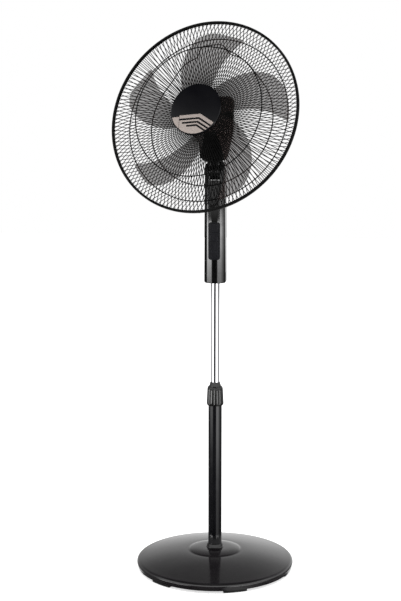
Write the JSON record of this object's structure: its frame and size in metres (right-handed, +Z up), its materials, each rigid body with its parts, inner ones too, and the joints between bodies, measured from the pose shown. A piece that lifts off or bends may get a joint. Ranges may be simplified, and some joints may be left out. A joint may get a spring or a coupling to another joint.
{
  "type": "pedestal fan",
  "caption": "Pedestal fan with a round weighted base, telescopic column with four keys, and a tilting, oscillating head in a round wire guard.",
  "frame": {"origin": "on the floor under the axis of the column, in the plane of the feet", "axes": "+Z up along the column, the column's key panel faces -Y, +X to the right of someone looking along +Y at the panel"},
  "size_m": [0.4395, 0.3728, 1.2864],
  "materials": {
    "base_gloss": "piano black",
    "column_gloss": "piano black",
    "head_gloss": "satin black",
    "matte_black": "fine textured",
    "key_plastic": "matte",
    "pole_paint": "powder coat",
    "pole_chrome": "polished",
    "guard_wire": "black coated wire",
    "blade_smoke": "translucent smoked",
    "badge_black": "piano black",
    "badge_silver": "brushed champagne",
    "weight_iron": "painted",
    "foot_rubber": "matte",
    "steel": "machined",
    "black_screw": "black oxide",
    "bracket_alloy": "die cast",
    "core_steel": "laminated",
    "winding_copper": "enamelled",
    "bearing_bronze": "sintered",
    "gear_nylon": "natural nylon",
    "switch_white": "moulded"
  },
  "bodies": {
    "base": {"base_cover": "base_gloss", "base_weight": "weight_iron", "rubber_feet": "foot_rubber", "base_screw": "steel", "base_washer": "steel", "pole_foot": "steel", "pole_socket": "column_gloss", "outer_pole": "pole_paint", "pole_bush": "matte_black"},
    "collar": {"lock_collar": "matte_black"},
    "column": {"inner_pole": "pole_chrome", "pole_stop": "gear_nylon", "housing_foot": "column_gloss", "housing_front": "column_gloss", "housing_rear": "column_gloss", "housing_screws": "black_screw", "pole_clamp": "bracket_alloy", "clamp_screw": "steel", "cord_gland": "matte_black", "key_bezel": "key_plastic", "switch_block": "switch_white", "capacitor": "switch_white", "tilt_bolt": "steel", "tilt_nut": "steel", "tilt_washers": "steel"},
    "off_key": {"key_off": "key_plastic"},
    "low_key": {"key_low": "key_plastic"},
    "medium_key": {"key_medium": "key_plastic"},
    "high_key": {"key_high": "key_plastic"},
    "neck_joint": {"neck": "matte_black", "pivot_washer": "steel"},
    "head": {"pivot_post": "steel", "pivot_bracket": "bracket_alloy", "gearbox_case": "bracket_alloy", "motor_cover_front": "head_gloss", "motor_cover_rear": "head_gloss", "rear_cover_screw": "steel", "stator_core": "core_steel", "stator_windings": "winding_copper", "front_bracket": "bracket_alloy", "rear_bracket": "bracket_alloy", "shaft_bearings": "bearing_bronze", "motor_screws": "steel", "rear_guard": "guard_wire", "guard_nut": "matte_black", "front_guard": "guard_wire", "guard_ring": "head_gloss", "ring_screw": "black_screw", "badge": "badge_black", "badge_insert": "badge_silver"},
    "knob": {"oscillation_knob": "matte_black"},
    "rotor": {"motor_shaft": "steel", "drive_worm": "steel", "rotor_core": "bracket_alloy", "drive_pin": "steel", "impeller": "blade_smoke", "spinner_nut": "head_gloss"},
    "wheel": {"worm_wheel": "gear_nylon"},
    "crank": {"crank_gear": "gear_nylon"}
  },
  "joints": [
    {"name": "collar_turn", "type": "hinge", "parent": "base", "child": "collar", "pos_m": [0, 0, 0.42], "axis": [0, 0, 1], "range_deg": [0, 120]},
    {"name": "height_slide", "type": "slide", "parent": "base", "child": "column", "axis": [0, 0, 1], "range_m": [-0.23, 0.05]},
    {"name": "off_press", "type": "slide", "parent": "column", "child": "off_key", "axis": [0, 1, 0], "range_m": [0, 0.003], "stiffness_N_per_m": 300},
    {"name": "low_press", "type": "slide", "parent": "column", "child": "low_key", "axis": [0, 1, 0], "range_m": [0, 0.003], "stiffness_N_per_m": 300},
    {"name": "medium_press", "type": "slide", "parent": "column", "child": "medium_key", "axis": [0, 1, 0], "range_m": [0, 0.003], "stiffness_N_per_m": 300},
    {"name": "high_press", "type": "slide", "parent": "column", "child": "high_key", "axis": [0, 1, 0], "range_m": [0, 0.003], "stiffness_N_per_m": 300},
    {"name": "head_tilt", "type": "hinge", "parent": "column", "child": "neck_joint", "pos_m": [0, 0, 0.945], "axis": [-1, 0, 0], "range_deg": [-21, 8]},
    {"name": "oscillation", "type": "hinge", "parent": "neck_joint", "child": "head", "pos_m": [0, 0.04069, 1.0418], "axis": [0, 0.3875, 0.9219], "range_deg": [-30, 60]},
    {"name": "knob_pull", "type": "slide", "parent": "head", "child": "knob", "axis": [0, 0.3875, 0.9219], "range_m": [0, 0.006]},
    {"name": "blade_spin", "type": "hinge", "parent": "head", "child": "rotor", "pos_m": [0, 0.04069, 1.0418], "axis": [-0.2622, -0.8896, 0.374], "continuous": true},
    {"name": "worm_wheel_spin", "type": "hinge", "parent": "head", "child": "wheel", "pos_m": [0.01277, 0.04991, 1.03792], "axis": [0, 0.3875, 0.9219], "continuous": true},
    {"name": "crank_spin", "type": "hinge", "parent": "head", "child": "crank", "pos_m": [0.00341, 0.05225, 1.03693], "axis": [0, 0.3875, 0.9219], "continuous": true}
  ],
  "couplings": [
    {"joint": "worm_wheel_spin", "follows": "blade_spin", "ratio": 0.05},
    {"joint": "crank_spin", "follows": "blade_spin", "ratio": -0.018182}
  ]
}
